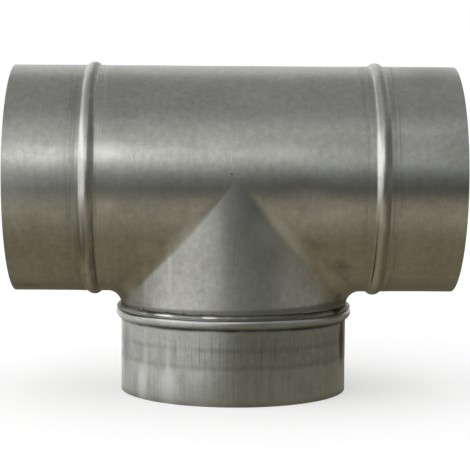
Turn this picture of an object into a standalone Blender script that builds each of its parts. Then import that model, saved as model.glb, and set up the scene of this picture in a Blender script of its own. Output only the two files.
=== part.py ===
"""Equal 90 degree duct tee of galvanised sheet steel, for 125 mm round ducting.

Two sheet pieces are locked together. The tee body is a welded tube with a stop
bead rolled near each open end, and a neck drawn out of its underside. The branch
collar is a rolled ring with a stop bead of its own, and its upper edge is hemmed
over a small flange at the end of the neck.

Metres, +Z up. The origin is the centre of the branch's open end, on which the tee
stands, and the run lies along X.
"""

import math

import bmesh
import bpy
from mathutils import Vector

# Driving dimensions, each written once
SPIGOT_RADIUS = 0.06225         # outside of the run and of the branch, 124.5 mm across
SHEET = 0.0006                  # galvanised sheet, both pieces
INSERTION_DEPTH = 0.03925       # open end to the stop bead, what slides into a duct
CROTCH_RADIUS = 0.0080          # concave radius between run and neck
THROAT_DROP = 0.0060            # underside of the run down to the top of the lock seam
CROTCH_TO_BEAD = 0.0023         # end of the concave radius to the run's stop bead
RUN_BEAD_WIDTH = 0.0082
RUN_BEAD_HEIGHT = 0.00175
BRANCH_BEAD_LOWER = 0.00415     # crest of the branch bead down to its lower foot
BRANCH_BEAD_UPPER = 0.00195     # crest up to the groove under the lip
BRANCH_BEAD_HEIGHT = 0.0028
GROOVE_HEIGHT = 0.0015          # how far the groove stands out from the collar's wall
GROOVE_FLAT = 0.0002
GROOVE_BEND = 0.0003            # outer bend radius from the groove to the lip
FLANGE_REACH = 0.00105          # how far the neck's flange stands out from the neck
FLANGE_BEND = 0.0005            # bend radius on the outer face, neck to flange
HEM_BEND = 0.0001               # inner bend radius of the hem, where it turns under
HEM_ROOM = 0.0003               # more air round the edge of the flange than elsewhere
CLEARANCE = 0.0003              # air between the two sheets everywhere in the lock
CREST_SHARE = 0.8               # share of a bead's curve that is crest, the rest is foot

# Fineness of the facets
QUARTER_STEPS = 16              # facets in a quarter turn
CROTCH_STEPS = 5
MIDDLE_STEPS = 2
BEND_STEPS = 2
FOOT_STEPS = 1
CREST_STEPS = 2
SHOULDER_STEPS = 4
MERGE = 0.00001
FLAT_ANGLE = 0.000001           # below this two normals are the same
SHARP_ANGLE = math.radians(50.0)

# Distances along the run, from the middle of the tee
run_bead_start = SPIGOT_RADIUS + CROTCH_RADIUS + CROTCH_TO_BEAD
run_half_length = run_bead_start + RUN_BEAD_WIDTH + INSERTION_DEPTH

# Depths below the run's axis, down the lock seam
lip_top = SPIGOT_RADIUS + THROAT_DROP
flange_top = lip_top + SHEET + CLEARANCE
neck_end = flange_top - FLANGE_BEND
seat_under = flange_top + SHEET + CLEARANCE + SHEET
groove_top = seat_under + GROOVE_BEND
groove_bottom = groove_top + GROOVE_FLAT
branch_crest = groove_bottom + BRANCH_BEAD_UPPER
branch_bead_end = branch_crest + BRANCH_BEAD_LOWER
axis_height = branch_bead_end + INSERTION_DEPTH

# Radii of the lock seam. At its sides the neck is still a little wider than the
# branch where the lip meets it, because the concave radius isn't finished there.
radius_left = max(0.0, CROTCH_RADIUS - THROAT_DROP)
neck_flare = CROTCH_RADIUS - math.sqrt(CROTCH_RADIUS ** 2 - radius_left ** 2)
lock_radius = SPIGOT_RADIUS + neck_flare
flange_radius = lock_radius + FLANGE_REACH
lip_radius = flange_radius + CLEARANCE + HEM_ROOM + SHEET
lip_corner = SHEET + HEM_BEND
lip_shoulder = seat_under - lip_corner - lip_top
groove_radius = SPIGOT_RADIUS + GROOVE_HEIGHT

ZINC_GREY = (0.42, 0.43, 0.42, 1.0)
ZINC_ROUGHNESS = 0.42


def clear_scene():
    """Remove what a new file holds."""
    for item in list(bpy.data.objects):
        bpy.data.objects.remove(item, do_unlink=True)


def new_collection(name):
    """Return a new collection linked to the scene."""
    collection = bpy.data.collections.new(name)
    bpy.context.scene.collection.children.link(collection)
    return collection


def galvanised_material():
    """Return the zinc grey of bare galvanised sheet."""
    material = bpy.data.materials.new("galvanised_steel")
    material.use_nodes = True
    shader = material.node_tree.nodes["Principled BSDF"]
    shader.inputs["Base Color"].default_value = ZINC_GREY
    shader.inputs["Metallic"].default_value = 1.0
    shader.inputs["Roughness"].default_value = ZINC_ROUGHNESS
    return material


def ease(width, height, foot_steps, crest_steps):
    """Return points from a bead's foot to its crest, as (along, out) pairs.

    A concave foot arc runs into a convex crest arc with a common tangent.
    """
    both_radii = (width * width + height * height) / (2.0 * height)
    turn = 2.0 * math.atan2(height, width)
    crest_radius = CREST_SHARE * both_radii
    foot_radius = both_radii - crest_radius
    points = []
    for step in range(foot_steps + 1):
        angle = turn * step / foot_steps
        points.append((foot_radius * math.sin(angle), foot_radius * (1.0 - math.cos(angle))))
    for step in range(1, crest_steps + 1):
        angle = turn * (1.0 - step / crest_steps)
        points.append((
            width - crest_radius * math.sin(angle),
            height - crest_radius * (1.0 - math.cos(angle)),
        ))
    return points


def oval(centre, width, height, start, end, steps):
    """Return points along an oval arc about centre, angles in degrees."""
    points = []
    for step in range(steps + 1):
        angle = math.radians(start + (end - start) * step / steps)
        points.append((centre[0] + width * math.cos(angle), centre[1] + height * math.sin(angle)))
    return points


def arc(centre, radius, start, end, steps):
    """Return points along a round arc about centre, angles in degrees."""
    return oval(centre, radius, radius, start, end, steps)


def run_bead():
    """Return (x, height) points along the run from its bead to its open end."""
    half = ease(RUN_BEAD_WIDTH / 2.0, RUN_BEAD_HEIGHT, FOOT_STEPS, CREST_STEPS)
    rising = [(run_bead_start + along, out) for along, out in half]
    far_foot = run_bead_start + RUN_BEAD_WIDTH
    falling = [(far_foot - along, out) for along, out in reversed(half[:-1])]
    return rising + falling + [(run_half_length, 0.0)]


def crotch_point(turn, share):
    """Return a point of the concave radius between run and neck.

    turn is the angle round the branch from the front to the side. share runs from
    0 on the run to 1 on the neck, but stops where the neck's flange begins. A ball
    of the crotch radius rolls along the valley, and this is where it touches.
    """
    reach = SPIGOT_RADIUS + CROTCH_RADIUS
    centre = Vector((reach * math.sin(turn), -reach * math.cos(turn), -reach * math.sin(turn)))
    run_normal = Vector((0.0, -math.cos(turn), -math.sin(turn)))
    neck_normal = Vector((math.sin(turn), -math.cos(turn), 0.0))
    opening = run_normal.angle(neck_normal, 0.0)
    if opening < FLAT_ANGLE:
        return Vector((0.0, -SPIGOT_RADIUS, 0.0))
    last = 1.0
    if reach * math.sin(turn) > neck_end:
        left = (reach - neck_end / math.sin(turn)) * math.sin(opening) / CROTCH_RADIUS
        last = 1.0 - math.asin(left) / opening
    normal = run_normal.slerp(neck_normal, share * last)
    return centre - CROTCH_RADIUS * normal


def body_section(turn):
    """Return one section of the lower body, from the neck's flange to the open end."""
    side = crotch_point(turn, 1.0)
    across = Vector((side.x, side.y, 0.0))
    neck_radius = across.length
    outwards = across.normalized()
    start = outwards * neck_radius
    points = [outwards * flange_radius + Vector((0.0, 0.0, -flange_top))]
    bend = arc((neck_radius + FLANGE_BEND, -neck_end), FLANGE_BEND, 270.0, 180.0, BEND_STEPS)
    points += [outwards * radius + Vector((0.0, 0.0, height)) for radius, height in bend[:-1]]
    points.append(start + Vector((0.0, 0.0, -neck_end)))
    for step in range(CROTCH_STEPS, -1, -1):
        points.append(crotch_point(turn, step / CROTCH_STEPS))
    contact = points[-1].x
    for step in range(1, MIDDLE_STEPS + 1):
        x = contact + (run_bead_start - contact) * step / MIDDLE_STEPS
        points.append(run_point(x, 0.0, -turn))
    return points + [run_point(x, height, -turn) for x, height in run_bead()[1:]]


def run_point(x, height, turn):
    """Return a point of the run: turn is 0 at the front and a quarter turn at the top."""
    radius = SPIGOT_RADIUS + height
    return Vector((x, -radius * math.cos(turn), radius * math.sin(turn)))


def upper_section(turn):
    """Return one section of the upper body, from the middle to the open end."""
    points = [run_point(run_bead_start * step / MIDDLE_STEPS, 0.0, turn)
              for step in range(MIDDLE_STEPS + 1)]
    return points + [run_point(x, height, turn) for x, height in run_bead()[1:]]


def loft(bm, sections):
    """Add a grid of faces whose rows of corners are the given sections."""
    rows = len(sections) - 1
    columns = len(sections[0]) - 1
    grid = bmesh.ops.create_grid(bm, x_segments=columns, y_segments=rows, size=0.5)
    for vert in grid["verts"]:
        column = round((vert.co.x + 0.5) * columns)
        row = round((vert.co.y + 0.5) * rows)
        vert.co = sections[row][column]


def thicken(item):
    """Give an open outer face its sheet thickness, inwards."""
    wall = item.modifiers.new("sheet", "SOLIDIFY")
    wall.thickness = SHEET
    wall.offset = -1.0
    wall.use_even_offset = True
    wall.use_quality_normals = True


def finish(item, collection, material):
    """Link a piece, give it its material and smooth its round faces."""
    collection.objects.link(item)
    item.data.materials.append(material)
    item.data.shade_smooth()
    item.data.set_sharp_from_angle(angle=SHARP_ANGLE)
    item.location.z = axis_height


def tee_body(collection, material):
    """Make the run with its two beads and the neck drawn out of it.

    A quarter of the outer face is lofted, because no modifier rolls a radius along
    the valley of two crossing tubes. It is mirrored to the back and to the left.
    """
    quarter = math.pi / 2.0
    turns = [quarter * step / QUARTER_STEPS for step in range(QUARTER_STEPS + 1)]
    bm = bmesh.new()
    loft(bm, [body_section(turn) for turn in reversed(turns)])
    loft(bm, [upper_section(turn) for turn in turns])
    bmesh.ops.remove_doubles(bm, verts=bm.verts, dist=MERGE)
    mesh = bpy.data.meshes.new("tee_body")
    bm.to_mesh(mesh)
    bm.free()
    item = bpy.data.objects.new("tee_body", mesh)
    halves = item.modifiers.new("halves", "MIRROR")
    halves.use_axis = (True, True, False)
    halves.merge_threshold = MERGE
    thicken(item)
    finish(item, collection, material)


def collar_profile():
    """Return the collar's outer face as (radius, height) points, top to bottom."""
    inner = lock_radius + CLEARANCE
    corner = lip_radius - lip_corner
    points = oval((inner, -lip_top - lip_shoulder), lip_radius - inner, lip_shoulder,
                  90.0, 0.0, SHOULDER_STEPS)
    points += arc((corner, -seat_under + lip_corner), lip_corner, 0.0, -90.0, BEND_STEPS)[1:]
    points.append((groove_radius, -groove_top))
    points += oval((groove_radius, -branch_crest), BRANCH_BEAD_HEIGHT - GROOVE_HEIGHT,
                   BRANCH_BEAD_UPPER, 90.0, 0.0, SHOULDER_STEPS - 1)
    lower = ease(BRANCH_BEAD_LOWER, BRANCH_BEAD_HEIGHT, FOOT_STEPS, CREST_STEPS + 1)
    points += [(SPIGOT_RADIUS + out, -branch_bead_end + along)
               for along, out in reversed(lower[:-1])]
    points.append((SPIGOT_RADIUS, -axis_height))
    return points


def branch_collar(collection, material):
    """Make the branch spigot as a turned sheet, its hem closed over the neck's flange."""
    profile = collar_profile()
    mesh = bpy.data.meshes.new("branch_collar")
    edges = [(index, index + 1) for index in range(len(profile) - 1)]
    mesh.from_pydata([(radius, 0.0, height) for radius, height in profile], edges, [])
    item = bpy.data.objects.new("branch_collar", mesh)
    turned = item.modifiers.new("turned", "SCREW")
    turned.axis = "Z"
    turned.steps = 4 * QUARTER_STEPS
    turned.render_steps = 4 * QUARTER_STEPS
    turned.use_merge_vertices = True
    turned.merge_threshold = MERGE
    thicken(item)
    finish(item, collection, material)


def build():
    """Build the tee."""
    clear_scene()
    collection = new_collection("galvanized_connector_tee")
    material = galvanised_material()
    tee_body(collection, material)
    branch_collar(collection, material)


build()
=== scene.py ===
"""Looks of an equal 90 degree duct tee of galvanised sheet steel.

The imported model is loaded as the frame. Two fine sheet pieces stand for its two
solids, a welded tee body and the branch collar that is locked under it, and they
get the finish of bare hot dip galvanised steel. A plain white studio and a camera
at the photograph's angle complete the scene.

Metres, +Z up. The tee stands on its branch at the origin, with the run along X and
its front towards -Y.
"""

import logging
import math
import random
from dataclasses import dataclass
from enum import Enum

import bpy
from mathutils import Matrix, Vector, noise


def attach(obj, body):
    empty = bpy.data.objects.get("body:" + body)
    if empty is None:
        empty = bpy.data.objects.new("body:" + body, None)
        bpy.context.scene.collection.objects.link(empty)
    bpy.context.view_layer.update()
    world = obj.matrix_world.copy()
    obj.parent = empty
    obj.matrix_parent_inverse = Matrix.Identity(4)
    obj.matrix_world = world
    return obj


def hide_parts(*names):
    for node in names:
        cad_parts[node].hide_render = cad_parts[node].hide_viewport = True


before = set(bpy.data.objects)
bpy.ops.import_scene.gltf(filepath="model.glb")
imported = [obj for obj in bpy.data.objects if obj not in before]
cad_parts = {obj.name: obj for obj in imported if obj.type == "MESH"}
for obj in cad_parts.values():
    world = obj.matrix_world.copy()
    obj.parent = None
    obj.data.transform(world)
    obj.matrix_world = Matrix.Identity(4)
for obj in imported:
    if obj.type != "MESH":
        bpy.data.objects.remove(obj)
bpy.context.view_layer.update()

LOG = logging.getLogger("duct_tee")
BODY = "root"
MERGE = 0.000005
FLAT_ANGLE = 0.000001
QUARTER = math.pi / 2.0
MM = 0.001
# A mark of this half size, in millimetres, goes all the way round
ALL_ROUND = 400.0
WHITE = (1.0, 1.0, 1.0, 1.0)

Colour = tuple[float, float, float, float]
Place = tuple[float, float, float]
Pair = tuple[float, float]
Profile = list[Pair]
Section = list[Vector]
Item = bpy.types.Object
Socket = bpy.types.NodeSocket


def linear(hex_colour: str) -> Colour:
    """Turn an sRGB hex value into a linear colour.

    Args:
        hex_colour: Six hex digits, such as "9a9c97".

    Returns:
        The linear red, green and blue, with an alpha of 1.
    """
    channels = []
    for start in (0, 2, 4):
        value = int(hex_colour[start:start + 2], 16) / 255.0
        low = value <= 0.04045
        channels.append(value / 12.92 if low else ((value + 0.055) / 1.055) ** 2.4)
    return channels[0], channels[1], channels[2], 1.0


@dataclass(frozen=True)
class Nodes:
    """One node tree and the nodes that are added to it."""

    tree: bpy.types.NodeTree

    def feed(self, node: bpy.types.Node, inputs: dict) -> None:
        """Set or link a node's inputs.

        Args:
            node: The node.
            inputs: A value or another node's output for each input's name or number.
        """
        for key, value in inputs.items():
            if isinstance(value, Socket):
                self.tree.links.new(value, node.inputs[key])
            else:
                node.inputs[key].default_value = value

    def add(self, kind: str, inputs: dict | None = None, **settings) -> bpy.types.NodeOutputs:
        """Add a node.

        Args:
            kind: The node's type name, without its prefix.
            inputs: What its inputs are set or linked to.
            settings: The node's own settings.

        Returns:
            The new node's outputs.
        """
        node = self.tree.nodes.new("ShaderNode" + kind)
        for name, value in settings.items():
            setattr(node, name, value)
        self.feed(node, inputs or {})
        return node.outputs

    def math(self, operation: str, *terms: Socket | float) -> Socket:
        """Work out a value from numbers and other values."""
        return self.add("Math", dict(enumerate(terms)), operation=operation)["Value"]

    def times(self, *factors: Socket | float) -> Socket:
        """Multiply factors, from left to right.

        Args:
            factors: Numbers or other nodes' outputs.

        Returns:
            Their product.
        """
        product = factors[0]
        for factor in factors[1:]:
            product = self.math("MULTIPLY", product, factor)
        return product

    def blend(self, share: float, first: Socket, second: Socket) -> Socket:
        """Mix two factors, with the given share of the second."""
        return self.add("Mix", {"Factor": share, "A": first, "B": second})["Result"]

    def ramp_between(self, value: Socket, zero: float, one: float) -> Socket:
        """Turn a value into a soft factor, 0 at one place and 1 at another."""
        return self.add("MapRange", {"Value": value, "From Min": zero, "From Max": one},
                        interpolation_type="SMOOTHSTEP")["Result"]

    def noise(self, size: float, place: Socket, detail: float = 3.0) -> Socket:
        """Add a noise.

        Args:
            size: Size of one feature in metres.
            place: The coordinates that it reads.
            detail: How many finer layers it has.

        Returns:
            Its factor, from 0 to 1.
        """
        return self.add("TexNoise", {
            "Scale": 1.0 / size, "Detail": detail, "Roughness": 0.55, "Vector": place,
        })["Fac"]

    def seen_directly(self) -> Socket:
        """Tell what is seen in the picture from what only lights it.

        Returns:
            A factor that is 1 for camera, glossy and transmission rays.
        """
        path = self.add("LightPath")
        both = self.math("MAXIMUM", path["Is Camera Ray"], path["Is Glossy Ray"])
        return self.math("MAXIMUM", both, path["Is Transmission Ray"])


def select_only(item: Item) -> None:
    """Make one object the active and only selected one.

    Args:
        item: The object.
    """
    bpy.ops.object.select_all(action="DESELECT")
    item.select_set(True)
    bpy.context.view_layer.objects.active = item


def apply_modifiers(item: Item) -> None:
    """Apply all modifiers, in order.

    Args:
        item: The object that has them.
    """
    select_only(item)
    for modifier in list(item.modifiers):
        bpy.ops.object.modifier_apply(modifier=modifier.name)


def merge_and_face_out(item: Item, close_ends: bool = False) -> None:
    """Merge a sheet's doubles and turn its faces outwards.

    Args:
        item: The sheet.
        close_ends: Whether its open ends are closed, too.
    """
    select_only(item)
    bpy.ops.object.mode_set(mode="EDIT")
    bpy.ops.mesh.select_all(action="SELECT")
    bpy.ops.mesh.remove_doubles(threshold=MERGE)
    if close_ends:
        bpy.ops.mesh.fill_holes(sides=0)
    else:
        bpy.ops.mesh.dissolve_degenerate(threshold=MERGE)
    bpy.ops.mesh.select_all(action="SELECT")
    bpy.ops.mesh.normals_make_consistent(inside=False)
    bpy.ops.object.mode_set(mode="OBJECT")


def place_in_mesh(item: Item) -> None:
    """Move an object's place, turn and size into its mesh."""
    select_only(item)
    bpy.ops.object.transform_apply(location=True, rotation=True, scale=True)


def finish_sheet(item: Item, thickness: float, height: float) -> None:
    """Give a sheet its thickness, inwards, smooth it and lift it into place.

    Args:
        item: The sheet's open outer face.
        thickness: Its thickness in metres.
        height: How far it is lifted, in metres.
    """
    wall = item.modifiers.new("sheet", "SOLIDIFY")
    wall.thickness = thickness
    wall.offset = -1.0
    wall.use_even_offset = True
    wall.use_quality_normals = True
    apply_modifiers(item)
    smooth(item)
    item.location.z = height
    place_in_mesh(item)


def smooth(item: Item, sharp_above: float = 50.0) -> None:
    """Smooth a piece's round faces and keep its corners, by an angle in degrees."""
    select_only(item)
    bpy.ops.object.shade_smooth_by_angle(angle=math.radians(sharp_above))


def rolled_sheet(name: str, sections: list[Section]) -> Item:
    """Roll a flat grid into shape.

    Args:
        name: The new object's name.
        sections: Rows of corners. Each row has the same number of points.

    Returns:
        An open sheet whose rows of corners lie on the sections.
    """
    rows = len(sections) - 1
    columns = len(sections[0]) - 1
    bpy.ops.object.select_all(action="DESELECT")
    bpy.ops.mesh.primitive_grid_add(x_subdivisions=columns, y_subdivisions=rows, size=1.0)
    sheet = bpy.context.active_object
    sheet.name = name
    for vertex in sheet.data.vertices:
        column = round((vertex.co.x + 0.5) * columns)
        row = round((vertex.co.y + 0.5) * rows)
        vertex.co = sections[row][column]
    return sheet


def join(pieces: list[Item], name: str) -> Item:
    """Join several objects into the first one.

    Args:
        pieces: The objects to join.
        name: The joined object's name.

    Returns:
        The joined object.
    """
    select_only(pieces[0])
    for piece in pieces:
        piece.select_set(True)
    bpy.ops.object.join()
    pieces[0].name = name
    pieces[0].data.name = name
    return pieces[0]


def evenly(start: float, end: float, steps: int) -> list[float]:
    """Return evenly spaced values after the start, up to the end."""
    return [start + (end - start) * step / steps for step in range(1, steps + 1)]


def oval(centre: Pair, radii: Pair, start: float, end: float, steps: int) -> Profile:
    """Return points along an oval arc.

    Args:
        centre: The oval's centre.
        radii: Its two radii.
        start: Where the arc starts, in degrees.
        end: Where the arc ends, in degrees.
        steps: How many straight steps it is made of.

    Returns:
        The points from start to end.
    """
    angles = [math.radians(angle) for angle in [start] + evenly(start, end, steps)]
    return [(centre[0] + radii[0] * math.cos(angle), centre[1] + radii[1] * math.sin(angle))
            for angle in angles]


def ease(width: float, height: float, crest_share: float, steps: int) -> Profile:
    """Return the rising half of a rolled bead, a foot arc that runs into a crest arc.

    Args:
        width: Distance along the sheet from foot to crest.
        height: How far the crest stands out.
        crest_share: Share of the two radii that is the crest's.
        steps: Straight steps in each arc.

    Returns:
        Points of distance along and height out, from foot to crest.
    """
    both_radii = (width * width + height * height) / (2.0 * height)
    turn = 2.0 * math.atan2(height, width)
    crest_radius = crest_share * both_radii
    foot_radius = both_radii - crest_radius
    points = []
    for step in range(steps + 1):
        angle = turn * step / steps
        points.append((foot_radius * math.sin(angle), foot_radius * (1.0 - math.cos(angle))))
    for step in range(1, steps + 1):
        angle = turn * (1.0 - step / steps)
        points.append((width - crest_radius * math.sin(angle),
                       height - crest_radius * (1.0 - math.cos(angle))))
    return points


@dataclass
class TeeSizes:
    """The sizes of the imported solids, in metres, and what follows from them."""

    spigot_radius: float = 0.06225
    sheet: float = 0.0006
    insertion_depth: float = 0.03925
    crotch_radius: float = 0.0080
    throat_drop: float = 0.0060
    crotch_to_bead: float = 0.0023
    run_bead_width: float = 0.0082
    run_bead_height: float = 0.00175
    branch_bead_lower: float = 0.00415
    branch_bead_upper: float = 0.00195
    branch_bead_height: float = 0.0028
    groove_height: float = 0.0015
    hem_room: float = 0.0003
    groove_flat: float = 0.0002
    groove_bend: float = 0.0003
    flange_reach: float = 0.00105
    flange_bend: float = 0.0005
    clearance: float = 0.0003
    crest_share: float = 0.8

    def __post_init__(self) -> None:
        """Work out the places and radii that follow from the named sizes."""
        # Distances from the tee's middle to the feet of a run bead and to the open end
        self.run_bead_start = self.spigot_radius + self.crotch_radius + self.crotch_to_bead
        self.run_bead_end = self.run_bead_start + self.run_bead_width
        self.run_half_length = self.run_bead_end + self.insertion_depth
        # Depths below the run's axis: the hem's edge, the neck's flange and where the neck
        # bends into it, the lip's underside, the groove, the branch bead's lower foot
        self.lip_top = self.spigot_radius + self.throat_drop
        self.flange_top = self.lip_top + self.sheet + self.clearance
        self.neck_end = self.flange_top - self.flange_bend
        self.seat_under = self.flange_top + self.sheet + self.clearance + self.sheet
        self.groove_top = self.seat_under + self.groove_bend
        self.groove_bottom = self.groove_top + self.groove_flat
        self.branch_bead_end = self.groove_bottom + self.branch_bead_upper + self.branch_bead_lower
        # The run's axis above the branch's open end, and the lip's round shoulder
        self.axis_height = self.branch_bead_end + self.insertion_depth
        self.lip_height = self.seat_under - self.groove_bend - self.lip_top
        # Radii round the branch: the neck's sides at the lip, the flange, the lip, the groove
        left = max(0.0, self.crotch_radius - self.throat_drop)
        flare = self.crotch_radius - math.sqrt(self.crotch_radius ** 2 - left ** 2)
        self.lock_radius = self.spigot_radius + flare
        self.flange_radius = self.lock_radius + self.flange_reach
        self.lip_radius = self.flange_radius + self.clearance + self.hem_room + self.sheet
        self.groove_radius = self.spigot_radius + self.groove_height

    def run_bead(self, steps: int = 6) -> Profile:
        """Outline a bead of the run, from foot to foot.

        Args:
            steps: Straight steps in each of its arcs.

        Returns:
            Points of place along the run and height above its wall.
        """
        half = ease(self.run_bead_width / 2.0, self.run_bead_height, self.crest_share, steps)
        rising = [(self.run_bead_start + along, out) for along, out in half]
        falling = [(self.run_bead_end - along, out) for along, out in reversed(half[:-1])]
        return rising + falling

    def run_point(self, x: float, height: float, turn: float) -> Vector:
        """Return a point of the run.

        Args:
            x: Place along the run.
            height: Height above the wall.
            turn: Angle round the run, 0 at the front and a quarter turn at the top.

        Returns:
            The point, from the middle of the run's axis.
        """
        radius = self.spigot_radius + height
        return Vector((x, -radius * math.cos(turn), radius * math.sin(turn)))


class Finish(Enum):
    """What handling, forming and the air have done to the zinc, as colour and roughness. The
    burnished, rubbed, dulled and grimy colours also serve as painted highlights and painted shade.
    """

    BURNISHED = ("c6c7c3", 0.30)
    RUBBED = ("c4c5c1", 0.24)
    DULLED = ("6f706b", 0.40)
    BLOOMED = ("bdbdb8", 0.66)
    GRIMY = ("4b4840", 0.50)
    RUSTED = ("4a2d27", 0.55)
    HEATED = ("5f6163", 0.46)
    RAW_STEEL = ("7c7b78", 0.42)


BURNISHED, RUBBED, DULLED, BLOOMED, GRIMY, RUSTED, HEATED, RAW_STEEL = Finish


class Across(Enum):
    """The measure that a band of wear, painted highlight or painted shade follows."""

    RUN = "place along the run"
    HEIGHT = "height above the open end"
    VALLEY = "distance from the valley between run and neck"


@dataclass(frozen=True)
class Band:
    """A band of wear, painted highlight or painted shade between two places of one measure, in
    millimetres.
    """

    across: Across
    start: float
    end: float
    finish: Finish
    strength: float
    soft: float = 0.6
    patch: float = 5.0
    lined: bool = False


@dataclass(frozen=True)
class Mark:
    """A single oval mark, in millimetres and degrees.

    Lean turns it in the front view, and around turns it about the branch's axis.
    """

    place: Place
    half_size: Place
    finish: Finish
    strength: float
    soft: float = 0.7
    lean: float = 0.0
    around: float = 0.0


@dataclass(frozen=True)
class GalvanisedSheet:
    """Finish of hot dip galvanised sheet, with a fine grain, clouds and the rolls' lines."""

    name: str
    line_scale: Place
    valley_height: float
    bands: list[Band]
    marks: list[Mark]
    zinc_tones: tuple[str, str] = ("8b8c85", "adaea9")
    tone_stops: Pair = (0.31, 0.69)
    tone_range: Pair = (0.3, 0.7)
    roughnesses: Pair = (0.335, 0.275)
    grain_size: float = 1.0 * MM
    mottle_size: float = 3.4 * MM
    mottle_share: float = 0.62
    patch_size: float = 24.0 * MM
    patch_share: float = 0.32
    line_pitch: float = 0.9 * MM
    line_share: float = 0.11
    line_breaks: Pair = (0.44, 0.60)
    patch_breaks: Pair = (0.15, 0.60)
    edge_wobble: float = 1.5
    grain_depth: float = 0.011 * MM
    peel_share: float = 0.3

    def band_mask(self, nodes: Nodes, band: Band, measure: Socket, place: Socket,
                  lines: Socket) -> Socket:
        """Add a band's mask.

        Args:
            nodes: The material's nodes.
            band: The band.
            measure: What it follows.
            place: The object coordinates.
            lines: The noise of the rolls' lines.

        Returns:
            Its strength, from 0 to 1.
        """
        start, end, soft = (value * MM for value in (band.start, band.end, band.soft))
        wobble = nodes.noise(band.patch * MM, place)
        reach = self.edge_wobble * soft
        shift = nodes.math("MULTIPLY_ADD", wobble, reach, -0.5 * reach)
        moved = nodes.math("ADD", measure, shift)
        rising = nodes.ramp_between(moved, start - soft, start + soft)
        falling = nodes.ramp_between(moved, end + soft, end - soft)
        if band.lined:
            breaks = nodes.ramp_between(lines, *self.line_breaks)
        else:
            breaks = nodes.ramp_between(wobble, *self.patch_breaks)
        return nodes.times(rising, falling, breaks, band.strength)

    def mark_mask(self, nodes: Nodes, mark: Mark, place: Socket) -> Socket:
        """Add a mark's mask.

        Args:
            nodes: The material's nodes.
            mark: The mark.
            place: The object coordinates.

        Returns:
            Its strength, from 0 to 1.
        """
        inside = nodes.add("Mapping", {
            "Vector": place,
            "Location": [value * MM for value in mark.place],
            "Rotation": (0.0, math.radians(mark.lean), math.radians(mark.around)),
            "Scale": [value * MM for value in mark.half_size],
        }, vector_type="TEXTURE")["Vector"]
        away = nodes.add("VectorMath", {0: inside}, operation="LENGTH")["Value"]
        return nodes.times(nodes.ramp_between(away, 1.0, 1.0 - mark.soft), mark.strength)

    def build(self) -> bpy.types.Material:
        """Make the material.

        Returns:
            The finished material.
        """
        material = bpy.data.materials.new(self.name)
        material.use_nodes = True
        nodes = Nodes(material.node_tree)
        place = nodes.add("TexCoord")["Object"]
        along = nodes.add("Mapping", {"Vector": place, "Scale": self.line_scale})["Vector"]
        grain = nodes.noise(self.grain_size, place)
        mottle = nodes.noise(self.mottle_size, place)
        patches = nodes.noise(self.patch_size, place)
        lines = nodes.noise(self.line_pitch, along, 2.0)
        cloud = nodes.blend(self.mottle_share, grain, mottle)
        tone = nodes.blend(self.line_share, nodes.blend(self.patch_share, cloud, patches), lines)
        zinc = nodes.add("ValToRGB", {"Fac": tone})["Color"]
        stops = zip(zinc.node.color_ramp.elements, self.tone_stops, self.zinc_tones)
        for element, stop, hex_colour in stops:
            element.position = stop
            element.color = linear(hex_colour)
        colour = zinc
        rough = nodes.add("MapRange", {
            "Value": tone, "From Min": self.tone_range[0], "From Max": self.tone_range[1],
            "To Min": self.roughnesses[0], "To Max": self.roughnesses[1],
        })["Result"]
        parts = nodes.add("SeparateXYZ", {"Vector": place})
        below = nodes.math("SUBTRACT", parts["Z"], self.valley_height)
        valley = nodes.math("ADD", nodes.math("ABSOLUTE", parts["X"]), below)
        measures = {Across.RUN: parts["X"], Across.HEIGHT: parts["Z"], Across.VALLEY: valley}
        masks = [(band.finish, self.band_mask(nodes, band, measures[band.across], place, lines))
                 for band in self.bands]
        masks += [(mark.finish, self.mark_mask(nodes, mark, place)) for mark in self.marks]
        # Each band and mark mixes in its finish's colour and roughness; some of these colours are
        # painted highlights and painted shade.
        for finish, mask in masks:
            mark_colour, mark_roughness = finish.value
            colour = nodes.add("Mix", {0: mask, 6: colour, 7: linear(mark_colour)},
                               data_type="RGBA")[2]
            rough = nodes.add("Mix", {"Factor": mask, "A": rough, "B": mark_roughness})["Result"]
        peel = nodes.blend(self.peel_share, grain, mottle)
        bump = nodes.add("Bump", {"Strength": 0.5, "Distance": self.grain_depth, "Height": peel})
        nodes.feed(nodes.tree.nodes["Principled BSDF"], {
            "Metallic": 1.0, "Base Color": colour, "Roughness": rough, "Normal": bump["Normal"],
        })
        return material


def hand_over(piece: Item, material: bpy.types.Material, *nodes: str) -> None:
    """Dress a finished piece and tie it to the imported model.

    Args:
        piece: The finished piece, in place.
        material: Its finish.
        nodes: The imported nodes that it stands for.
    """
    piece.data.materials.clear()
    piece.data.materials.append(material)
    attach(piece, BODY)
    if nodes:
        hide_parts(*nodes)
    LOG.info("%s: %d faces", piece.name, len(piece.data.polygons))


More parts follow.
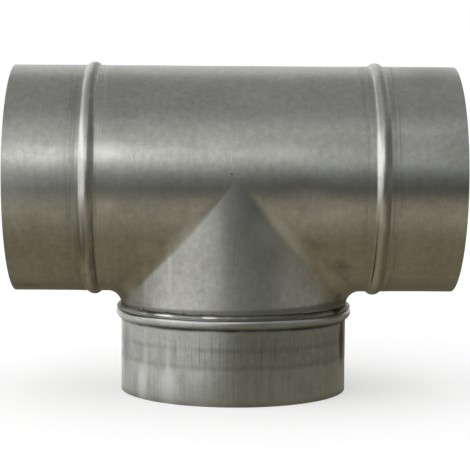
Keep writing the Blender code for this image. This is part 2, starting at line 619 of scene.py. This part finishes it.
@dataclass
class TeeBody:
    """The run with its two stop beads and the neck drawn out of its underside."""

    sizes: TeeSizes
    quarter_steps: int = 48
    crotch_steps: int = 12
    middle_steps: int = 24
    end_steps: int = 14
    bend_steps: int = 4
    front_widening: float = 1.8
    widening_power: int = 8
    valley_share: float = 0.26
    valley_least: float = 1.0 * MM
    bead_give: float = 6.0 * MM
    flange_give: float = 5.0 * MM
    wave_depth: float = 0.30 * MM
    wave_size: float = 42.0 * MM
    # Place, radius and depth of each shallow dent
    dents: tuple[tuple[Place, float, float], ...] = (
        ((0.036, -0.061, -0.010), 0.015, 0.00045),
        ((-0.014, -0.060, 0.012), 0.020, 0.00016),
        ((-0.105, -0.060, 0.020), 0.018, 0.00016),
    )

    def crotch_point(self, turn: float, share: float) -> Vector:
        """Return a point of the concave radius between run and neck.

        A ball rolls along the valley, and this is where it touches. It has the crotch
        radius at the sides and is wider at the front. It stops at the neck's flange.

        Args:
            turn: Angle round the branch, 0 at the front and a quarter turn at the side.
            share: 0 on the run to 1 on the neck.

        Returns:
            The point, from the middle of the run's axis.
        """
        sizes = self.sizes
        widening = self.front_widening * math.cos(turn) ** self.widening_power
        ball = sizes.crotch_radius * (1.0 + widening)
        reach = sizes.spigot_radius + ball
        centre = Vector((reach * math.sin(turn), -reach * math.cos(turn), -reach * math.sin(turn)))
        run_normal = Vector((0.0, -math.cos(turn), -math.sin(turn)))
        neck_normal = Vector((math.sin(turn), -math.cos(turn), 0.0))
        opening = run_normal.angle(neck_normal, 0.0)
        if opening < FLAT_ANGLE:
            return Vector((0.0, -sizes.spigot_radius, 0.0))
        last = 1.0
        if reach * math.sin(turn) > sizes.neck_end:
            left = reach - sizes.neck_end / math.sin(turn)
            last = 1.0 - math.asin(left * math.sin(opening) / ball) / opening
        normal = run_normal.slerp(neck_normal, share * last)
        return centre - ball * normal

    def lower_section(self, turn: float) -> Section:
        """Return one section from the neck's flange to the open end.

        Args:
            turn: Angle round the branch and down the run.

        Returns:
            The section's points.
        """
        sizes = self.sizes
        side = self.crotch_point(turn, 1.0)
        across = Vector((side.x, side.y, 0.0))
        outwards = across.normalized()
        centre = (across.length + sizes.flange_bend, -sizes.neck_end)
        bend = oval(centre, (sizes.flange_bend,) * 2, 270.0, 180.0, self.bend_steps)
        outline = [(sizes.flange_radius, -sizes.flange_top)] + bend
        points = [outwards * radius + Vector((0.0, 0.0, height)) for radius, height in outline]
        for step in range(self.crotch_steps, -1, -1):
            points.append(self.crotch_point(turn, step / self.crotch_steps))
        return points + self.spigot(points[-1].x, -turn)

    def spigot(self, start: float, turn: float) -> Section:
        """Return the run's points from a place near its middle to its open end.

        Args:
            start: Place along the run before the first point.
            turn: Angle round the run.

        Returns:
            The section's points.
        """
        sizes = self.sizes
        bead = sizes.run_bead()[1:]
        outline = [(x, 0.0) for x in evenly(start, sizes.run_bead_start, self.middle_steps)] + bead
        outline += [(x, 0.0) for x in evenly(bead[-1][0], sizes.run_half_length, self.end_steps)]
        return [sizes.run_point(x, height, turn) for x, height in outline]

    def outwards(self, place: Vector) -> Vector:
        """Find the way out of the sheet, smooth across the valley.

        Args:
            place: A place on the body, from the middle of the run's axis.

        Returns:
            The direction.
        """
        run = Vector((0.0, place.y, place.z))
        if place.z >= 0.0:
            return run.normalized()
        neck = Vector((place.x, place.y, 0.0))
        width = self.valley_share * abs(place.z) + self.valley_least
        share = min(1.0, max(0.0, 0.5 + (abs(place.x) + place.z) / width))
        return neck.lerp(run, share * share * (3.0 - 2.0 * share)).normalized()

    def roll_unevenly(self, body: Item) -> None:
        """Sink the plain sheet a little, in slow waves and dents, but not its beads.

        Args:
            body: The body's outer face, about the middle of the run's axis.
        """
        sizes = self.sizes
        for vertex in body.data.vertices:
            place = vertex.co.copy()
            from_bead = max(sizes.run_bead_start - abs(place.x), abs(place.x) - sizes.run_bead_end)
            give = min(1.0, max(0.0, from_bead / self.bead_give))
            give *= min(1.0, max(0.0, (sizes.flange_top + place.z) / self.flange_give))
            depth = self.wave_depth * (0.5 + 0.5 * noise.noise(place / self.wave_size))
            for middle, radius, deepest in self.dents:
                share = (place - Vector(middle)).length / radius
                if share < 1.0:
                    depth += deepest * 0.5 * (1.0 + math.cos(math.pi * share))
            vertex.co = place - self.outwards(place) * depth * give

    def build(self) -> Item:
        """Roll a quarter of the body, mirror it and give it its sheet thickness.

        Returns:
            The body, without its material.
        """
        turns = [QUARTER * step / self.quarter_steps for step in range(self.quarter_steps + 1)]
        lower = [self.lower_section(turn) for turn in reversed(turns)]
        upper = [[self.sizes.run_point(0.0, 0.0, turn)] + self.spigot(0.0, turn)
                 for turn in turns]
        quarters = [rolled_sheet("lower_quarter", lower), rolled_sheet("upper_quarter", upper)]
        body = join(quarters, "welded_tee_body")
        halves = body.modifiers.new("halves", "MIRROR")
        halves.use_axis = (True, True, False)
        halves.merge_threshold = MERGE
        apply_modifiers(body)
        merge_and_face_out(body)
        self.roll_unevenly(body)
        finish_sheet(body, self.sizes.sheet, self.sizes.axis_height)
        return body


@dataclass
class BranchCollar:
    """The branch spigot, whose hemmed upper edge is locked over the neck's flange."""

    sizes: TeeSizes
    turn_steps: int = 360
    lip_steps: int = 8
    bend_steps: int = 4
    bead_steps: int = 6
    wall_steps: int = 12
    edge_room: float = 0.2
    edge_wander: float = 0.45 * MM
    wander_scales: Pair = (9.0, 31.0)
    fine_wander: float = 0.7
    worn_depth: float = 0.25 * MM
    worn_scale: float = 5.0
    foot_give: float = 5.0 * MM
    wave_depth: float = 0.12 * MM
    wave_size: float = 22.0 * MM

    def profile(self) -> Profile:
        """Outline the collar's outer face.

        Returns:
            Points of radius and height from the run's axis, top to bottom.
        """
        sizes = self.sizes
        inner = sizes.lock_radius + self.edge_room * sizes.clearance
        points = oval((inner, -sizes.lip_top - sizes.lip_height),
                      (sizes.lip_radius - inner, sizes.lip_height), 90.0, 0.0, self.lip_steps)
        bend = (sizes.groove_bend,) * 2
        points += oval((sizes.lip_radius - bend[0], bend[0] - sizes.seat_under), bend,
                       0.0, -90.0, self.bend_steps)[1:]
        points += oval((sizes.groove_radius + bend[0], -sizes.groove_top), bend,
                       90.0, 180.0, self.bend_steps)
        crest = (sizes.groove_radius, -sizes.groove_bottom - sizes.branch_bead_upper)
        points += oval(crest, (sizes.branch_bead_height - sizes.groove_height,
                               sizes.branch_bead_upper), 90.0, 0.0, self.lip_steps)
        lower = ease(sizes.branch_bead_lower, sizes.branch_bead_height, sizes.crest_share,
                     self.bead_steps)
        points += [(sizes.spigot_radius + out, -sizes.branch_bead_end + along)
                   for along, out in reversed(lower[:-1])]
        depths = evenly(sizes.branch_bead_end, sizes.axis_height, self.wall_steps)
        return points + [(sizes.spigot_radius, -depth) for depth in depths]

    def hammer_unevenly(self, collar: Item) -> None:
        """Let the hem's edge wander and sink the plain wall in slow waves.

        Args:
            collar: The collar's outer face, about the middle of the run's axis.
        """
        sizes = self.sizes
        slow, fast = self.wander_scales
        for vertex in collar.data.vertices:
            place = vertex.co.copy()
            outwards = Vector((place.x, place.y, 0.0)).normalized()
            under_edge = (-sizes.lip_top - place.z) / sizes.lip_height
            if under_edge < 1.0:
                wander = noise.noise(outwards * slow)
                wander += self.fine_wander * noise.noise(outwards * fast)
                edge = (1.0 - under_edge) ** 2
                vertex.co.z -= self.edge_wander * edge * (0.5 + 0.5 * wander)
                worn = noise.noise(outwards * self.worn_scale + Vector((3.0, 0.0, 0.0)))
                vertex.co -= outwards * self.worn_depth * max(0.0, worn) * (1.0 - edge)
            from_foot = -place.z - sizes.branch_bead_end
            give = min(1.0, max(0.0, from_foot / self.foot_give))
            wave = 0.5 + 0.5 * noise.noise(place / self.wave_size)
            vertex.co -= outwards * self.wave_depth * wave * give

    def build(self) -> Item:
        """Spin the profile and give it its sheet thickness.

        Returns:
            The collar, without its material.
        """
        profile = self.profile()
        mesh = bpy.data.meshes.new("locked_branch_collar")
        edges = [(index, index + 1) for index in range(len(profile) - 1)]
        mesh.from_pydata([(radius, 0.0, height) for radius, height in profile], edges, [])
        collar = bpy.data.objects.new("locked_branch_collar", mesh)
        bpy.context.scene.collection.objects.link(collar)
        select_only(collar)
        bpy.ops.object.mode_set(mode="EDIT")
        bpy.ops.mesh.select_all(action="SELECT")
        bpy.ops.mesh.spin(steps=self.turn_steps, angle=2.0 * math.pi,
                          center=(0.0, 0.0, 0.0), axis=(0.0, 0.0, 1.0))
        bpy.ops.object.mode_set(mode="OBJECT")
        merge_and_face_out(collar)
        self.hammer_unevenly(collar)
        finish_sheet(collar, self.sizes.sheet, self.sizes.axis_height)
        return collar


@dataclass
class HemBurrs:
    """Crumbs of zinc and curls of metal that the hemming left on the lip's edge."""

    sizes: TeeSizes
    seed: int = 11
    clusters: tuple[tuple[float, float, int], ...] = (
        (-26.0, 10.0, 14), (-10.8, 2.4, 12), (4.0, 8.0, 9), (16.0, 3.5, 9), (29.0, 6.0, 6),
        (-50.0, 5.0, 4), (118.0, 14.0, 6), (-140.0, 20.0, 7), (172.0, 9.0, 5),
    )

    def crumb(self, chance: random.Random, angle: float) -> Item:
        """Make one crumb.

        Args:
            chance: The source of its uneven form.
            angle: Angle round the branch in degrees, 0 at the front.

        Returns:
            The crumb, in place.
        """
        sizes = self.sizes
        radius = sizes.lock_radius + sizes.clearance + chance.uniform(0.0, 0.5) * MM
        height = sizes.axis_height - sizes.lip_top - chance.uniform(-0.1, 0.35) * MM
        towards = math.radians(angle)
        bpy.ops.mesh.primitive_ico_sphere_add(
            subdivisions=1, radius=chance.uniform(0.18, 0.42) * MM,
            location=(radius * math.sin(towards), -radius * math.cos(towards), height),
            rotation=[chance.uniform(0.0, math.pi) for _ in range(3)],
        )
        crumb = bpy.context.active_object
        crumb.scale = [chance.uniform(0.6, 1.9) for _ in range(3)]
        return crumb

    def build(self) -> Item:
        """Scatter the crumbs and join them.

        Returns:
            The crumbs, without their material.
        """
        chance = random.Random(self.seed)
        crumbs = [self.crumb(chance, middle + chance.uniform(-spread, spread))
                  for middle, spread, count in self.clusters for _ in range(count)]
        for crumb in crumbs:
            place_in_mesh(crumb)
        burrs = join(crumbs, "hem_burrs")
        smooth(burrs, 30.0)
        return burrs


@dataclass
class WeldLine:
    """A slim resistance weld at a rolled tube's back, a low rounded strip."""

    name: str
    path: Profile
    width: float = 2.4 * MM
    height: float = 0.14 * MM
    sunk: float = 0.20 * MM
    across_steps: int = 8
    upright: bool = False
    axis_height: float = 0.0

    def ring(self, along: float, radius: float) -> Section:
        """Return the strip's closed outline at one place.

        Args:
            along: Place along the tube's axis.
            radius: The tube's outer radius there.

        Returns:
            The outline's points. The last one is the first one.
        """
        outline = []
        for step in range(self.across_steps + 1):
            share = 2.0 * step / self.across_steps - 1.0
            outline.append((share * self.width / 2.0, self.height * (1.0 - share * share)))
        outline += [(self.width / 2.0, -self.sunk), (-self.width / 2.0, -self.sunk), outline[0]]
        points = []
        for across, out in outline:
            angle = across / radius
            sideways = (radius + out) * math.sin(angle)
            backwards = (radius + out) * math.cos(angle)
            if self.upright:
                points.append(Vector((sideways, backwards, along)))
            else:
                points.append(Vector((along, backwards, self.axis_height + sideways)))
        return points

    def build(self) -> Item:
        """Sweep the strip along its path and close its ends.

        Returns:
            The weld line, without its material.
        """
        line = rolled_sheet(self.name, [self.ring(along, radius) for along, radius in self.path])
        merge_and_face_out(line, close_ends=True)
        smooth(line, 40.0)
        return line


@dataclass
class PhotographCamera:
    """The camera at the photograph's place, 0.8 m away and a little above the run."""

    place: Place = (-0.00907, -0.79887, 0.14298)
    yaw: float = -0.01219
    pitch: float = -0.07227
    roll: float = 0.00600
    lens: float = 110.29
    sensor: float = 36.0

    def build(self) -> None:
        """Place the scene's camera."""
        data = bpy.data.cameras.new("photograph_camera")
        data.lens = self.lens
        data.sensor_width = self.sensor
        data.clip_start = 0.01
        data.clip_end = 50.0
        camera = bpy.data.objects.new("photograph_camera", data)
        bpy.context.scene.collection.objects.link(camera)
        camera.matrix_world = (
            Matrix.Translation(self.place)
            @ Matrix.Rotation(self.yaw, 4, "Z")
            @ Matrix.Rotation(QUARTER + self.pitch, 4, "X")
            @ Matrix.Rotation(self.roll, 4, "Z")
        )
        bpy.context.scene.camera = camera


@dataclass(frozen=True)
class SoftCard:
    """A card that only reflections see. Soft is the share of it that fades out."""

    name: str
    place: Place
    size: Pair
    tone: str
    soft: float = 0.5


@dataclass
class Studio:
    """A white room with a pale floor, soft lamps and the cards that metal needs."""

    middle: Place = (0.0, 0.0, 0.10)
    seen_glow: float = 1.0
    matt_glow: float = 0.72
    floor_size: float = 30.0
    floor_glow: float = 0.42
    lamp_distance: float = 1.7
    stands_beyond: float = 1.0
    lies_below: float = 0.01
    cards: tuple[SoftCard, ...] = tuple(SoftCard(*row) for row in (
        ("ceiling_card", (0.00, 0.10, 1.60), (3.7, 2.9), "bdbdbd", 0.55),
        ("right_card", (1.25, -0.90, 0.72), (2.90, 2.10), "b0b1b0", 0.16),
        ("back_right_card", (1.50, 0.75, 0.40), (1.60, 1.30), "5a5a5a", 0.30),
        ("front_card", (0.50, -1.50, 0.10), (2.20, 0.76), "737878", 0.25),
        ("far_bench_card", (0.73, -1.45, 0.0001), (2.14, 2.00), "202022", 0.05),
        ("right_bench_card", (0.90, 0.10, 0.0002), (2.02, 1.24), "8e8c7c", 0.12),
        # Under and in front of the tee the bench is shown by two cards, the one right under it
        # darker with painted shade. The card under the run is painted shade alone, the tee's
        # shadow on the bench, seen only in reflections.
        ("shaded_under_card", (0.10, -0.03, 0.0460), (0.54, 0.54), "9e937c", 0.12),
        ("under_front_card", (-0.02, -0.17, 0.0465), (0.60, 0.20), "c5beae", 0.60),
        ("under_run_shadow_card", (0.00, 0.035, 0.0467), (0.34, 0.13), "7a7361", 0.35),
    ))

    def card_material(self, card: SoftCard) -> bpy.types.Material:
        """Make a glow that fades out towards the card's edges.

        Args:
            card: The card.

        Returns:
            Its material.
        """
        material = bpy.data.materials.new(card.name)
        material.use_nodes = True
        nodes = Nodes(material.node_tree)
        nodes.tree.nodes.clear()
        parts = nodes.add("SeparateXYZ", {"Vector": nodes.add("TexCoord")["Object"]})
        inner = 0.5 * (1.0 - card.soft)
        fades = [nodes.ramp_between(nodes.math("ABSOLUTE", parts[axis]), 0.5, inner)
                 for axis in ("X", "Y")]
        front = nodes.math("SUBTRACT", 1.0, nodes.add("NewGeometry")["Backfacing"])
        mix = nodes.add("MixShader", {
            0: nodes.times(*fades, front),
            1: nodes.add("BsdfTransparent")["BSDF"],
            2: nodes.add("Emission", {"Color": linear(card.tone), "Strength": 1.0})["Emission"],
        })
        nodes.add("OutputMaterial", {"Surface": mix["Shader"]})
        return material

    def add_card(self, card: SoftCard) -> None:
        """Put up a card that lies or hangs flat, or stands facing the tee.

        Args:
            card: The card.
        """
        place = Vector(card.place)
        bpy.ops.object.select_all(action="DESELECT")
        bpy.ops.mesh.primitive_plane_add(size=1.0, location=place)
        plane = bpy.context.active_object
        plane.name = card.name
        away = Vector(self.middle) - place
        aside = Vector((away.x, away.y)).length
        if aside > self.stands_beyond and place.z > self.lies_below:
            plane.rotation_euler = away.to_track_quat("Z", "Y").to_euler()
        elif place.z > self.middle[2]:
            plane.rotation_euler = (math.pi, 0.0, 0.0)
        plane.scale = (card.size[0], card.size[1], 1.0)
        plane.data.materials.append(self.card_material(card))
        for sight in ("visible_camera", "visible_diffuse", "visible_shadow",
                      "visible_transmission", "visible_volume_scatter"):
            setattr(plane, sight, False)

    def build_world(self) -> None:
        """Make a world that is white to the eye and in metal, and softer on matt things."""
        world = bpy.data.worlds.new("white_room")
        world.use_nodes = True
        nodes = Nodes(world.node_tree)
        nodes.tree.nodes.clear()
        strength = nodes.add("MapRange", {
            "Value": nodes.seen_directly(), "To Min": self.matt_glow, "To Max": self.seen_glow,
        })["Result"]
        glow = nodes.add("Background", {"Color": WHITE, "Strength": strength})
        nodes.add("OutputWorld", {"Surface": glow["Background"]})
        bpy.context.scene.world = world

    def build_floor(self) -> None:
        """Lay a pale matt floor that glows to look white and keeps the tee's shadow."""
        bpy.ops.object.select_all(action="DESELECT")
        bpy.ops.mesh.primitive_plane_add(size=self.floor_size)
        floor = bpy.context.active_object
        floor.name = "pale_floor"
        material = bpy.data.materials.new("pale_floor")
        material.use_nodes = True
        nodes = Nodes(material.node_tree)
        nodes.feed(nodes.tree.nodes["Principled BSDF"], {
            "Base Color": linear("e8e8e8"),
            "Roughness": 0.9,
            "Specular IOR Level": 0.0,
            "Emission Color": WHITE,
            "Emission Strength": nodes.times(nodes.seen_directly(), self.floor_glow),
        })
        floor.data.materials.append(material)

    def add_lamp(self, name: str, azimuth: float, elevation: float, size: Pair,
                 radiance: float) -> None:
        """Hang a soft lamp facing the tee.

        Args:
            name: The lamp's name.
            azimuth: Direction from the tee in degrees, 0 at the camera's side.
            elevation: Height above the horizon in degrees.
            size: Width and height in metres.
            radiance: How bright its face is, where 1 is white.
        """
        data = bpy.data.lights.new(name, "AREA")
        data.shape = "ELLIPSE"
        data.size, data.size_y = size
        area = math.pi * size[0] * size[1] / 4.0
        data.energy = radiance * math.pi * area
        lamp = bpy.data.objects.new(name, data)
        bpy.context.scene.collection.objects.link(lamp)
        turn, rise = math.radians(azimuth), math.radians(elevation)
        towards = Vector((math.cos(rise) * math.sin(turn), -math.cos(rise) * math.cos(turn),
                          math.sin(rise)))
        lamp.location = Vector(self.middle) + self.lamp_distance * towards
        lamp.rotation_euler = towards.to_track_quat("Z", "Y").to_euler()
        lamp.visible_camera = False

    def build(self) -> None:
        """Build the room, its lamps and its cards."""
        self.build_world()
        self.build_floor()
        self.add_lamp("window_lamp", -68.0, 18.0, (3.4, 1.1), 0.80)
        self.add_lamp("front_lamp", -10.0, 26.0, (0.45, 0.45), 1.7)
        for card in self.cards:
            self.add_card(card)


def run_finish(sizes: TeeSizes) -> bpy.types.Material:
    """Make the finish of the welded body, with the wear that the photograph shows and with painted
    highlights and painted shade.

    Args:
        sizes: The tee's sizes.

    Returns:
        The body's material.
    """
    axis = sizes.axis_height / MM
    wall = -sizes.spigot_radius / MM
    end = sizes.run_half_length / MM
    bands = [Band(Across.RUN, *row) for row in (
        (-88.0, -80.9, DULLED, 0.38, 1.2, 5.0, True),
        (80.9, 86.0, DULLED, 0.42, 1.2, 5.0, True),
        (-71.8, -66.0, RUBBED, 0.18, 1.5, 5.0, True),
        (66.0, 72.0, DULLED, 0.28, 1.5, 5.0, True),
        # Painted highlight on the left flank of each run bead, which faces the light, and painted
        # shade on its right flank.
        (-80.6, -77.2, RUBBED, 0.70, 0.7, 12.0),
        (-76.0, -73.4, GRIMY, 0.50, 0.6, 12.0),
        (72.8, 76.2, RUBBED, 0.70, 0.7, 12.0),
        (77.4, 80.0, GRIMY, 0.40, 0.6, 12.0),
        (-end - 1.0, -end + 0.12, RAW_STEEL, 1.0, 0.06),
        (end - 0.12, end + 1.0, RAW_STEEL, 1.0, 0.06),
    )]
    bands.insert(4, Band(Across.VALLEY, -3.0, 3.5, RUBBED, 0.12, 2.6, 14.0))
    # Place, half size, finish, strength, soft share, lean and turn round the branch
    marks = [Mark(*row) for row in (
        ((-2.0, wall, 120.8), (0.9, 4.0, 0.8), GRIMY, 0.8),
        ((50.5, wall, 117.9), (0.35, 4.0, 1.5), BURNISHED, 0.8, 0.7, 35.0),
        ((-47.8, wall, 106.8), (0.3, 4.0, 1.8), BURNISHED, 0.5, 0.7, -20.0),
        ((-53.1, -60.0, 128.8), (0.30, 6.0, 4.6), BURNISHED, 0.55, 0.7, -18.0),
        ((-2.3, -61.0, 128.7), (0.28, 6.0, 4.6), BURNISHED, 0.35),
        ((0.0, wall, 83.6), (0.45, 4.0, 20.0), DULLED, 0.45, 0.7, 4.0),
        # Painted shade over the pale reflection along the right valley between run and neck.
        ((41.6, -53.0, 83.9), (6.5, 8.0, 3.6), DULLED, 0.40, 1.0, 25.0),
        ((57.5, -45.0, 71.0), (9.5, 10.0, 5.0), DULLED, 0.65, 1.0, 40.0),
        ((56.5, -28.0, 53.0), (6.0, 12.0, 5.0), RUSTED, 0.50, 1.0),
        # Painted shade on the underside of the run's left end.
        ((-110.0, -25.0, 59.0), (9.0, 9.0, 3.2), DULLED, 0.60, 1.0),
        # Painted highlight on the run's front beside the left bead, where the lamp's highlight
        # falls.
        ((-68.0, -60.0, 132.3), (17.0, 14.0, 10.0), BURNISHED, 0.55, 1.0),
        ((-56.0, -30.0, 56.0), (11.0, 16.0, 8.5), BLOOMED, 0.75, 1.0),
        # A darker band runs round the neck just above the lip and rises at the sides.
        ((0.0, 0.0, 48.9), (ALL_ROUND, ALL_ROUND, 2.6), GRIMY, 0.60, 0.7, -1.2),
        ((50.0, -38.0, 51.0), (17.0, 12.0, 2.2), DULLED, 0.65, 0.7, 0.0, 52.0),
        ((-50.0, -38.0, 51.0), (15.0, 12.0, 1.8), DULLED, 0.35, 0.7, 0.0, -52.0),
        # Painted highlight on the run's front right of the middle, in the lamp's highlight.
        ((26.0, -60.0, 132.0), (24.0, 14.0, 8.0), BURNISHED, 0.28, 1.0),
        # The top of the run's right end is darker.
        ((104.0, -22.0, axis + 59.0), (30.0, 34.0, 14.0), DULLED, 0.55, 1.0),
        # Painted shade over the lower part of the left bead's left flank, taking off the painted
        # highlight of the band there.
        ((-79.4, -56.0, 88.0), (3.4, 26.0, 29.0), DULLED, 0.82),
        # Painted highlights on the run beside the left bead below its axis, on the neck right of
        # the middle and in the left valley.
        ((-66.0, -60.0, 104.5), (9.0, 16.0, 6.5), RUBBED, 0.45, 1.0),
        ((15.0, -58.0, 91.5), (12.0, 16.0, 15.0), BURNISHED, 0.50, 1.0),
        ((-45.5, -58.0, 80.0), (10.0, 18.0, 9.0), BURNISHED, 0.50, 1.0),
        ((-18.0, -58.0, 60.2), (4.6, 8.0, 1.3), DULLED, 0.40, 1.0, -35.0),
        ((-22.6, -56.0, 56.6), (2.4, 8.0, 1.0), DULLED, 0.40, 1.0, -25.0),
        ((-11.0, -61.0, 76.5), (2.2, 8.0, 1.2), DULLED, 0.28, 1.0, 20.0),
        # Painted highlights: two upright streaks on the neck's lit side.
        ((-47.0, -40.0, 70.0), (2.2, 9.0, 24.0), RUBBED, 0.35, 1.0),
        ((-34.0, -52.0, 74.0), (1.8, 9.0, 24.0), RUBBED, 0.35, 1.0),
        ((0.0, -wall, axis), (150.0, 9.0, 4.2), HEATED, 0.75, 0.8),
    )]
    return GalvanisedSheet("galvanised_steel_run", (1.0, 0.02, 0.02), sizes.axis_height,
                           bands, marks).build()


def collar_finish(sizes: TeeSizes) -> bpy.types.Material:
    """Make the finish of the branch collar, with the wear that the photograph shows and with
    painted highlights and painted shade.

    Args:
        sizes: The tee's sizes.

    Returns:
        The collar's material.
    """
    wall = sizes.spigot_radius / MM
    lip = sizes.lip_radius / MM
    bands = [Band(Across.HEIGHT, *row) for row in (
        (45.7, 60.0, DULLED, 0.75, 0.25),
        (42.0, 45.2, RUBBED, 0.30, 0.7, 12.0),
        # Painted shade in the foot under the branch bead.
        (38.9, 41.6, DULLED, 0.75, 0.8, 16.0),
        (39.1, 40.6, GRIMY, 0.80, 0.5, 16.0),
        (28.4, 30.8, DULLED, 0.38, 1.2),
        (19.0, 21.4, DULLED, 0.30, 1.5),
        (-5.0, 19.0, RUBBED, 0.35, 1.5, 9.0),
        (3.0, 37.0, DULLED, 0.22, 2.0, 5.0, True),
        # Darker towards the open end's rim.
        (-5.0, 2.2, GRIMY, 0.42, 2.0, 14.0),
        (-1.0, 0.12, RAW_STEEL, 1.0, 0.06),
    )]
    rows = [
        (-62.0, 48.0, lip, (26.0, 9.0, 3.4), BLOOMED, 0.85, 0.7),
        (22.0, 47.2, lip, (36.0, 14.0, 2.0), GRIMY, 0.45, 0.5),
    ]
    # Lines that the rolling tool left, by angle and strength
    rows += [(angle, 28.6, wall, (0.42, 3.0, 12.5), GRIMY, strength, 0.9)
             for angle, strength in (
                 (-38.9, 0.3), (-29.9, 0.4), (-21.0, 0.3), (-16.8, 0.65), (-14.2, 0.3),
                 (-10.9, 0.5), (-7.0, 0.45), (-3.5, 0.3), (13.1, 0.3), (19.6, 0.35))]
    # Painted highlights on the lip, where flattened bits of its face catch the light, by angle,
    # half width and strength
    rows += [(angle, 47.0, lip, (half, 3.0, 1.0), BURNISHED, strength, 0.45)
             for angle, half, strength in (
                 (-48.5, 4.6, 0.7), (-35.1, 7.4, 0.95), (-11.7, 4.8, 1.0), (52.0, 9.0, 0.35),
                 (150.0, 12.0, 0.5))]
    rows += [
        (58.0, 47.3, lip, (6.5, 5.0, 2.8), RUSTED, 0.95, 0.7),
        (71.0, 30.0, wall, (7.0, 6.0, 19.0), RUSTED, 0.90, 0.7),
        # Painted highlights: upright streaks and patches on the lit side of the collar.
        (-49.0, 18.0, wall, (3.0, 5.0, 24.0), RUBBED, 0.40, 1.0),
        (-34.0, 18.0, wall, (2.2, 5.0, 24.0), RUBBED, 0.45, 1.0),
        (-52.0, 9.0, wall, (5.5, 8.0, 13.0), BURNISHED, 0.90, 0.7),
        (-34.0, 9.0, wall, (8.0, 6.0, 13.0), BURNISHED, 0.60, 0.7),
        # Painted shade at the collar's left edge.
        (-71.0, 26.0, wall, (10.0, 7.0, 24.0), DULLED, 0.90, 1.0),
    ]
    marks = []
    for angle, height, radius, half_size, finish, strength, soft in rows:
        turn = math.radians(angle)
        place = (radius * math.sin(turn), -radius * math.cos(turn), height)
        marks.append(Mark(place, half_size, finish, strength, soft, around=angle))
    marks.append(Mark((0.0, wall, 20.0), (4.2, 9.0, 60.0), HEATED, 0.75, 0.8))
    return GalvanisedSheet("galvanised_steel_collar", (1.0, 1.0, 0.02), sizes.axis_height,
                           bands, marks).build()


def weld_lines(sizes: TeeSizes) -> list[WeldLine]:
    """Plan the welds that close the two rolled tubes at the back.

    Args:
        sizes: The tee's sizes.

    Returns:
        The run's weld line and the collar's.
    """
    half = [(0.0, 0.0)] + sizes.run_bead() + [(sizes.run_half_length, 0.0)]
    path = [(-x, height) for x, height in reversed(half[1:])] + half
    run = [(x, sizes.spigot_radius + height) for x, height in path]
    collar = [(0.5 * step * sizes.insertion_depth, sizes.spigot_radius) for step in range(3)]
    return [
        WeldLine("run_weld_line", run, axis_height=sizes.axis_height),
        WeldLine("collar_weld_line", collar, upright=True),
    ]


def main() -> None:
    """Build the tee, its studio and its camera."""
    logging.basicConfig(level=logging.INFO, format="%(name)s: %(message)s")
    bpy.context.scene.view_settings.view_transform = "Standard"
    sizes = TeeSizes()
    PhotographCamera().build()
    Studio().build()
    run_zinc = run_finish(sizes)
    collar_zinc = collar_finish(sizes)
    hand_over(TeeBody(sizes).build(), run_zinc, "tee_body")
    hand_over(BranchCollar(sizes).build(), collar_zinc, "branch_collar")
    hand_over(HemBurrs(sizes).build(), collar_zinc)
    run_weld, collar_weld = weld_lines(sizes)
    hand_over(run_weld.build(), run_zinc)
    hand_over(collar_weld.build(), collar_zinc)


if __name__ == "__main__":
    main()
